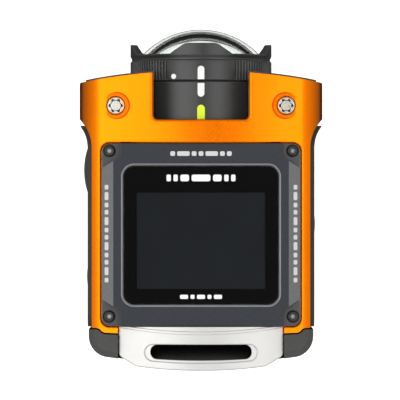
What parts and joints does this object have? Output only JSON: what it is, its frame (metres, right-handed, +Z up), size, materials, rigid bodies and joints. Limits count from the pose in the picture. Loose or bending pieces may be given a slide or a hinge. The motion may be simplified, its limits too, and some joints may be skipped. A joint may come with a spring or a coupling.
{
  "type": "action camera",
  "caption": "Rugged action camera with a turning dome lens protector, top screen, side buttons, strap guard, hinged battery door and tripod socket.",
  "frame": {"origin": "mouth of the tripod socket, on the plane the base pad rests on", "axes": "+Z up out of the screen, the lens looks along -Y, +Y towards the strap guard and battery door, X across the body"},
  "size_m": [0.0582, 0.0819, 0.0423],
  "materials": {
    "orange_shell": "satin metallic orange paint",
    "graphite_shell": "satin dark grey",
    "graphite_barrel": "satin dark grey",
    "grip_rubber": "matt ribbed",
    "button_rubber": "satin",
    "bezel_slate": "fine textured slate grey",
    "cover_glass": "polished, tinted",
    "mask_black": "printed black",
    "panel_grey": "unlit display",
    "dome_glass": "clear coated",
    "lens_glass": "coated",
    "polished_steel": "polished",
    "screw_steel": "bright",
    "black_steel": "black oxide",
    "mark_white": "printed white",
    "mark_lime": "printed yellow-green",
    "cell_black": "matt black moulded",
    "latch_grey": "matt",
    "catch_amber": "matt",
    "battery_wrap": "dark label film",
    "bay_black": "matt",
    "board_green": "solder mask",
    "chip_black": "moulded",
    "contact_gold": "gold plated",
    "flex_amber": "film"
  },
  "bodies": {
    "camera": {"barrel_mark": "mark_white", "base_pad": "grip_rubber", "base_screws": "black_steel", "battery": "battery_wrap", "battery_bay": "bay_black", "battery_contacts": "contact_gold", "bezel_screws": "black_steel", "board_chips": "chip_black", "button_switches": "chip_black", "card_socket": "screw_steel", "display_flex": "flex_amber", "display_panel": "panel_grey", "front_cover": "graphite_shell", "front_lens": "lens_glass", "guard_screws": "black_steel", "hdmi_socket": "screw_steel", "hinge_pin": "screw_steel", "image_sensor": "chip_black", "ir_filter": "lens_glass", "left_grip": "grip_rubber", "lens_barrel": "graphite_barrel", "lens_cell": "cell_black", "lens_retainer": "cell_black", "lens_seal": "grip_rubber", "lower_shell": "graphite_shell", "main_board": "board_green", "memory_card": "bay_black", "microphones": "chip_black", "orientation_mark": "mark_lime", "right_grip": "grip_rubber", "screen_bezel": "bezel_slate", "screen_glass": "cover_glass", "screen_mask": "mask_black", "second_lens": "lens_glass", "sensor_board": "board_green", "sensor_screws": "screw_steel", "shell_screws": "screw_steel", "speaker": "chip_black", "strap_guard": "polished_steel", "switch_boards": "board_green", "tail_frame": "graphite_shell", "third_lens": "lens_glass", "top_shell": "orange_shell", "tripod_insert": "screw_steel", "usb_socket": "screw_steel"},
    "protector": {"protector_dome": "dome_glass", "hood_ring": "graphite_barrel", "grip_ring": "graphite_barrel", "ring_marks": "mark_white"},
    "door": {"battery_door": "graphite_shell", "door_gasket": "grip_rubber"},
    "latch": {"door_latch": "latch_grey"},
    "catch": {"battery_catch": "catch_amber"},
    "shutter_key": {"shutter_button": "button_rubber"},
    "power_key": {"power_button": "button_rubber"},
    "mode_key": {"mode_button": "button_rubber"},
    "light_key": {"light_button": "button_rubber"},
    "wireless_key": {"wireless_button": "button_rubber"}
  },
  "joints": [
    {"name": "protector_turn", "type": "hinge", "parent": "camera", "child": "protector", "pos_m": [0, -0.0344, 0.0216], "axis": [0, -1, 0], "range_deg": [0, 22.5]},
    {"name": "door_hinge", "type": "hinge", "parent": "camera", "child": "door", "pos_m": [-0.022, 0.0313, 0.017], "axis": [0, 0, 1], "range_deg": [0, 90]},
    {"name": "latch_slide", "type": "slide", "parent": "door", "child": "latch", "axis": [1, 0, 0], "range_m": [0, 0.0016]},
    {"name": "battery_catch_slide", "type": "slide", "parent": "camera", "child": "catch", "axis": [0, 0, 1], "range_m": [0, 0.0016], "stiffness_N_per_m": 150, "springref_m": -0.0006},
    {"name": "shutter_press", "type": "slide", "parent": "camera", "child": "shutter_key", "axis": [-1, 0, 0], "range_m": [0, 0.0006], "stiffness_N_per_m": 2500, "springref_m": -0.0003},
    {"name": "power_press", "type": "slide", "parent": "camera", "child": "power_key", "axis": [-1, 0, 0], "range_m": [0, 0.0006], "stiffness_N_per_m": 2500, "springref_m": -0.0003},
    {"name": "mode_press", "type": "slide", "parent": "camera", "child": "mode_key", "axis": [1, 0, 0], "range_m": [0, 0.0006], "stiffness_N_per_m": 2500, "springref_m": -0.0003},
    {"name": "light_press", "type": "slide", "parent": "camera", "child": "light_key", "axis": [1, 0, 0], "range_m": [0, 0.0006], "stiffness_N_per_m": 2500, "springref_m": -0.0003},
    {"name": "wireless_press", "type": "slide", "parent": "camera", "child": "wireless_key", "axis": [1, 0, 0], "range_m": [0, 0.0006], "stiffness_N_per_m": 2500, "springref_m": -0.0003}
  ]
}
